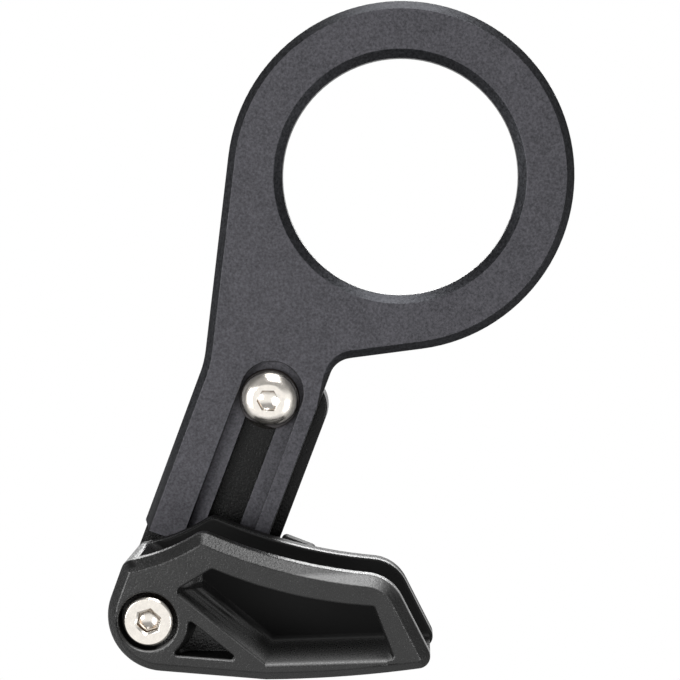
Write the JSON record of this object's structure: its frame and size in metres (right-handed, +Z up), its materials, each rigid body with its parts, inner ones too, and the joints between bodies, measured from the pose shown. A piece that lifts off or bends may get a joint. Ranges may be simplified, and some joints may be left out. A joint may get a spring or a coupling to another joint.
{
  "type": "bicycle chain guide",
  "caption": "Chain guide: a flat ring plate for a bottom bracket cup, with a slotted arm and a sliding black chain cage held by a button head bolt.",
  "frame": {"origin": "on the axis of the ring's bore, halfway through the back plate", "axes": "+X to the right and +Z up as seen from the chain side, +Y towards the bicycle's frame"},
  "size_m": [0.0684, 0.023, 0.0985],
  "materials": {
    "plate": "bead blasted and anodised dark grey",
    "slider": "moulded black nylon",
    "cage": "moulded black nylon with a fine grain",
    "bolt": "bright stainless steel",
    "nut": "plain stainless steel"
  },
  "bodies": {
    "plate": {"back_plate": "plate"},
    "carriage": {"slider": "slider", "slider_bolt": "bolt", "slider_nut": "nut", "chain_cage": "cage", "cage_bolt": "bolt", "cage_nut": "nut"}
  },
  "joints": [
    {"name": "carriage_slide", "type": "slide", "parent": "plate", "child": "carriage", "axis": [-0.3535, 0, -0.9354], "range_m": [-0.001, 0.021]}
  ]
}
